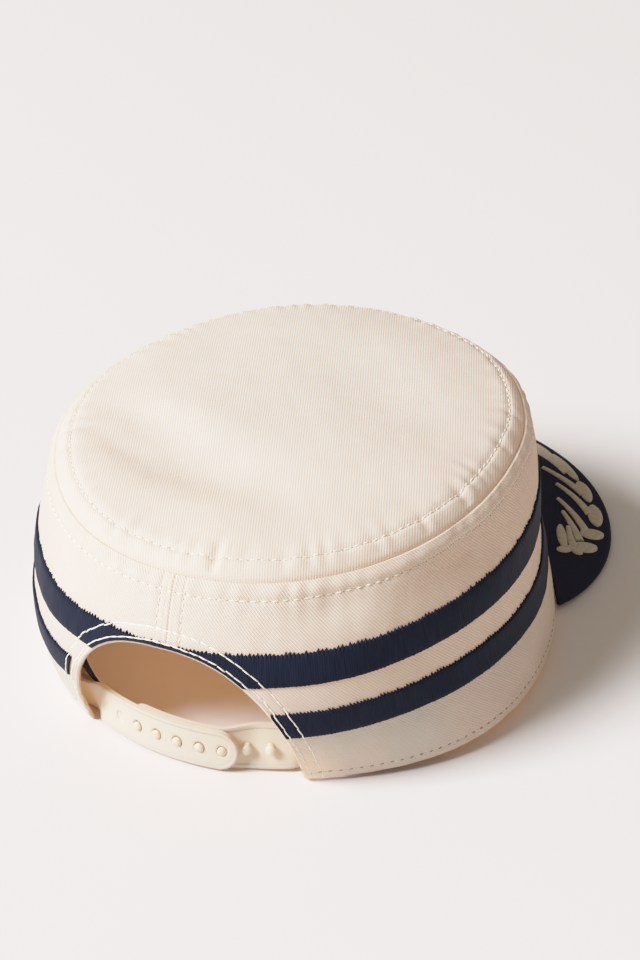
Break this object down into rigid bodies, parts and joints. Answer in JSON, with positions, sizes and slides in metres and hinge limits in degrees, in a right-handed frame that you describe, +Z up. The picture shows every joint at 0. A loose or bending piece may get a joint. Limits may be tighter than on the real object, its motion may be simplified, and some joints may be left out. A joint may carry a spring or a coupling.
{
  "type": "painter cap",
  "caption": "Cloth painter cap with a tall round crown, flat top panel, embroidered stripes, a short peak with leaf sprays and a snap strap across an arched back opening",
  "frame": {"origin": "middle of the bottom of the whole cap's box, on the surface that it rests on", "axes": "+Z up, the peak points along -Y, the wearer's right is -X"},
  "size_m": [0.1791, 0.2509, 0.0869],
  "materials": {
    "crown_cloth": "cream cotton twill",
    "stripe_thread": "navy satin-stitch embroidery",
    "peak_cloth": "navy cotton over a stiff board",
    "leaf_thread": "straw-coloured embroidery",
    "sweatband_cloth": "navy woven cotton",
    "strap_plastic": "ivory moulded plastic, satin"
  },
  "bodies": {
    "root": {"crown_side": "crown_cloth", "crown_top": "crown_cloth", "stripe_lower": "stripe_thread", "stripe_upper": "stripe_thread", "peak": "peak_cloth", "leaf_spray_right": "leaf_thread", "leaf_spray_left": "leaf_thread", "sweatband": "sweatband_cloth", "strap_holes": "strap_plastic", "strap_pegs": "strap_plastic"}
  },
  "joints": []
}
